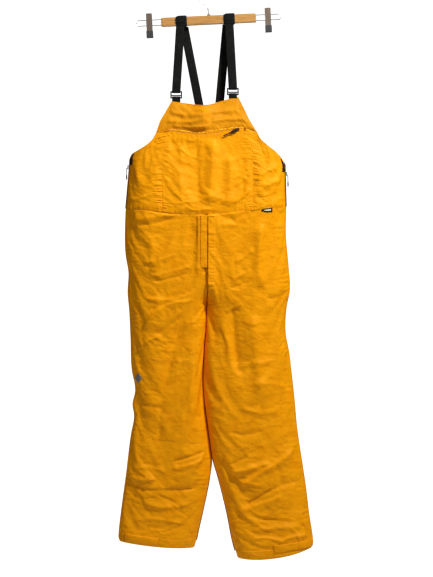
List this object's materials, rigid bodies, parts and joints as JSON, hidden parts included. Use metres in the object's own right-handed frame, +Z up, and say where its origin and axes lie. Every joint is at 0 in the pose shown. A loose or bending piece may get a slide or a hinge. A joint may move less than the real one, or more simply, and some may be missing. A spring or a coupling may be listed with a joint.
{
  "type": "bib overalls on a clip hanger",
  "caption": "Waterproof bib overalls with webbing braces, chest zip, side zips, fly, knee and seat patches and ankle tabs, hung by the braces from a wooden clip hanger.",
  "frame": {"origin": "the point inside the hook's bend that rests on the rail", "axes": "+Z up, -Y towards the garment's front, +X towards the wearer's left"},
  "size_m": [0.5665, 0.0966, 1.6556],
  "materials": {
    "shell_fabric": "golden-yellow coated waterproof cloth, satin",
    "webbing": "black ribbed elastic webbing, matt",
    "black_plastic": "moulded, satin",
    "dark_zip": "dark brown coil and painted sliders",
    "yellow_zip": "yellow coated coil zip, satin",
    "rubber_pull": "dark moulded grip",
    "label": "woven label, plain",
    "reflective": "grey reflective film",
    "hanger_wood": "varnished, satin",
    "chrome": "polished",
    "clip_steel": "dull plated",
    "vinyl": "soft dark grey vinyl"
  },
  "bodies": {
    "hook": {"hanger_hook": "chrome", "hook_nut": "chrome"},
    "hanger": {"hook_collar": "chrome", "hanger_bar": "hanger_wood", "end_loop_right": "chrome", "end_loop_left": "chrome", "strap_hitch_right": "webbing", "strap_hitch_left": "webbing"},
    "clip_right": {"clip_rear_jaw_right": "clip_steel", "clip_rear_pad_right": "vinyl", "clip_pin_right": "clip_steel"},
    "clip_jaw_right": {"clip_front_jaw_right": "clip_steel", "clip_front_pad_right": "vinyl", "clip_spring_right": "clip_steel"},
    "clip_left": {"clip_rear_jaw_left": "clip_steel", "clip_rear_pad_left": "vinyl", "clip_pin_left": "clip_steel"},
    "clip_jaw_left": {"clip_front_jaw_left": "clip_steel", "clip_front_pad_left": "vinyl", "clip_spring_left": "clip_steel"},
    "straps": {"front_strap_right": "webbing", "front_strap_left": "webbing", "back_strap_right": "webbing", "back_strap_left": "webbing"},
    "garment": {"buckle_right": "black_plastic", "buckle_left": "black_plastic", "strap_tab_right": "webbing", "strap_tab_left": "webbing", "bib_yoke": "shell_fabric", "chest_panel": "shell_fabric", "side_panel_right": "shell_fabric", "side_panel_left": "shell_fabric", "back_panel": "shell_fabric", "back_yoke_patch": "shell_fabric", "leg_front_right": "shell_fabric", "leg_front_left": "shell_fabric", "leg_back_right": "shell_fabric", "leg_back_left": "shell_fabric", "hem_band_right": "shell_fabric", "hem_band_left": "shell_fabric", "knee_patch_right": "shell_fabric", "knee_patch_left": "shell_fabric", "seat_patch": "shell_fabric", "fly_placket": "shell_fabric", "waist_label": "label", "reflective_patch": "reflective", "chest_zip": "yellow_zip", "fly_zip": "yellow_zip", "side_zip_right": "dark_zip", "side_zip_left": "dark_zip"},
    "chest_slider": {"chest_zip_slider": "dark_zip"},
    "chest_pull": {"chest_zip_pull": "rubber_pull"},
    "fly_slider": {"fly_zip_slider": "dark_zip"},
    "fly_cover": {"fly_flap": "shell_fabric"},
    "side_slider_right": {"side_zip_slider_right": "dark_zip"},
    "side_pull_right": {"side_zip_pull_right": "rubber_pull"},
    "ankle_strap_right": {"ankle_tab_right": "shell_fabric"},
    "side_slider_left": {"side_zip_slider_left": "dark_zip"},
    "side_pull_left": {"side_zip_pull_left": "rubber_pull"},
    "ankle_strap_left": {"ankle_tab_left": "shell_fabric"}
  },
  "joints": [
    {"name": "hook_swivel", "type": "hinge", "parent": "hook", "child": "hanger", "pos_m": [0.00457, 0, -0.09489], "axis": [-0.0482, 0, 0.9988], "continuous": true},
    {"name": "clip_slide_right", "type": "slide", "parent": "hanger", "child": "clip_right", "axis": [-0.9988, 0, -0.0482], "range_m": [-0.02, 0.018]},
    {"name": "clip_open_right", "type": "hinge", "parent": "clip_right", "child": "clip_jaw_right", "pos_m": [-0.16723, -0.0065, -0.10317], "axis": [-0.9988, 0, -0.0482], "range_deg": [0, 28], "stiffness_Nm_per_rad": 0.6, "springref_deg": -20.05},
    {"name": "clip_slide_left", "type": "slide", "parent": "hanger", "child": "clip_left", "axis": [0.9988, 0, 0.0482], "range_m": [-0.02, 0.018]},
    {"name": "clip_open_left", "type": "hinge", "parent": "clip_left", "child": "clip_jaw_left", "pos_m": [0.17637, -0.0065, -0.08661], "axis": [-0.9988, 0, -0.0482], "range_deg": [0, 28], "stiffness_Nm_per_rad": 0.6, "springref_deg": -20.05},
    {"name": "strap_swing", "type": "hinge", "parent": "hanger", "child": "straps", "pos_m": [0.00457, 0, -0.09489], "axis": [0.9988, 0, 0.0482], "range_deg": [-25, 25]},
    {"name": "strap_adjust", "type": "slide", "parent": "straps", "child": "garment", "axis": [0, 0, 1], "range_m": [0, 0.06], "deforming": ["front_strap_right", "front_strap_left", "back_strap_right", "back_strap_left"]},
    {"name": "chest_zip_slide", "type": "slide", "parent": "garment", "child": "chest_slider", "axis": [-0.9997, 0, -0.0224], "range_m": [0, 0.17]},
    {"name": "chest_pull_swing", "type": "hinge", "parent": "chest_slider", "child": "chest_pull", "pos_m": [0.088, -0.02881, -0.41399], "axis": [-0.4296, 0, 0.903], "range_deg": [0, 120]},
    {"name": "fly_flap_turn", "type": "hinge", "parent": "garment", "child": "fly_cover", "pos_m": [-0.0197, -0.04965, -0.735], "axis": [0, 0, -1], "range_deg": [0, 150]},
    {"name": "fly_zip_slide", "type": "slide", "parent": "garment", "child": "fly_slider", "axis": [0, 0, -1], "range_m": [0, 0.095]},
    {"name": "side_zip_slide_right", "type": "slide", "parent": "garment", "child": "side_slider_right", "axis": [-0.0828, 0, -0.9966], "range_m": [0, 0.08]},
    {"name": "side_pull_swing_right", "type": "hinge", "parent": "side_slider_right", "child": "side_pull_right", "pos_m": [-0.23293, 0, -0.52369], "axis": [0, 1, 0], "range_deg": [0, 120]},
    {"name": "side_zip_slide_left", "type": "slide", "parent": "garment", "child": "side_slider_left", "axis": [0.0269, 0, -0.9996], "range_m": [0, 0.08]},
    {"name": "side_pull_swing_left", "type": "hinge", "parent": "side_slider_left", "child": "side_pull_left", "pos_m": [0.23444, 0, -0.54391], "axis": [0, -1, 0], "range_deg": [0, 120]},
    {"name": "ankle_tab_turn_right", "type": "hinge", "parent": "garment", "child": "ankle_strap_right", "pos_m": [-0.2445, -0.017, -1.592], "axis": [0, 0, -1], "range_deg": [0, 120]},
    {"name": "ankle_tab_turn_left", "type": "hinge", "parent": "garment", "child": "ankle_strap_left", "pos_m": [0.2965, -0.017, -1.61], "axis": [0, 0, 1], "range_deg": [0, 120]}
  ]
}
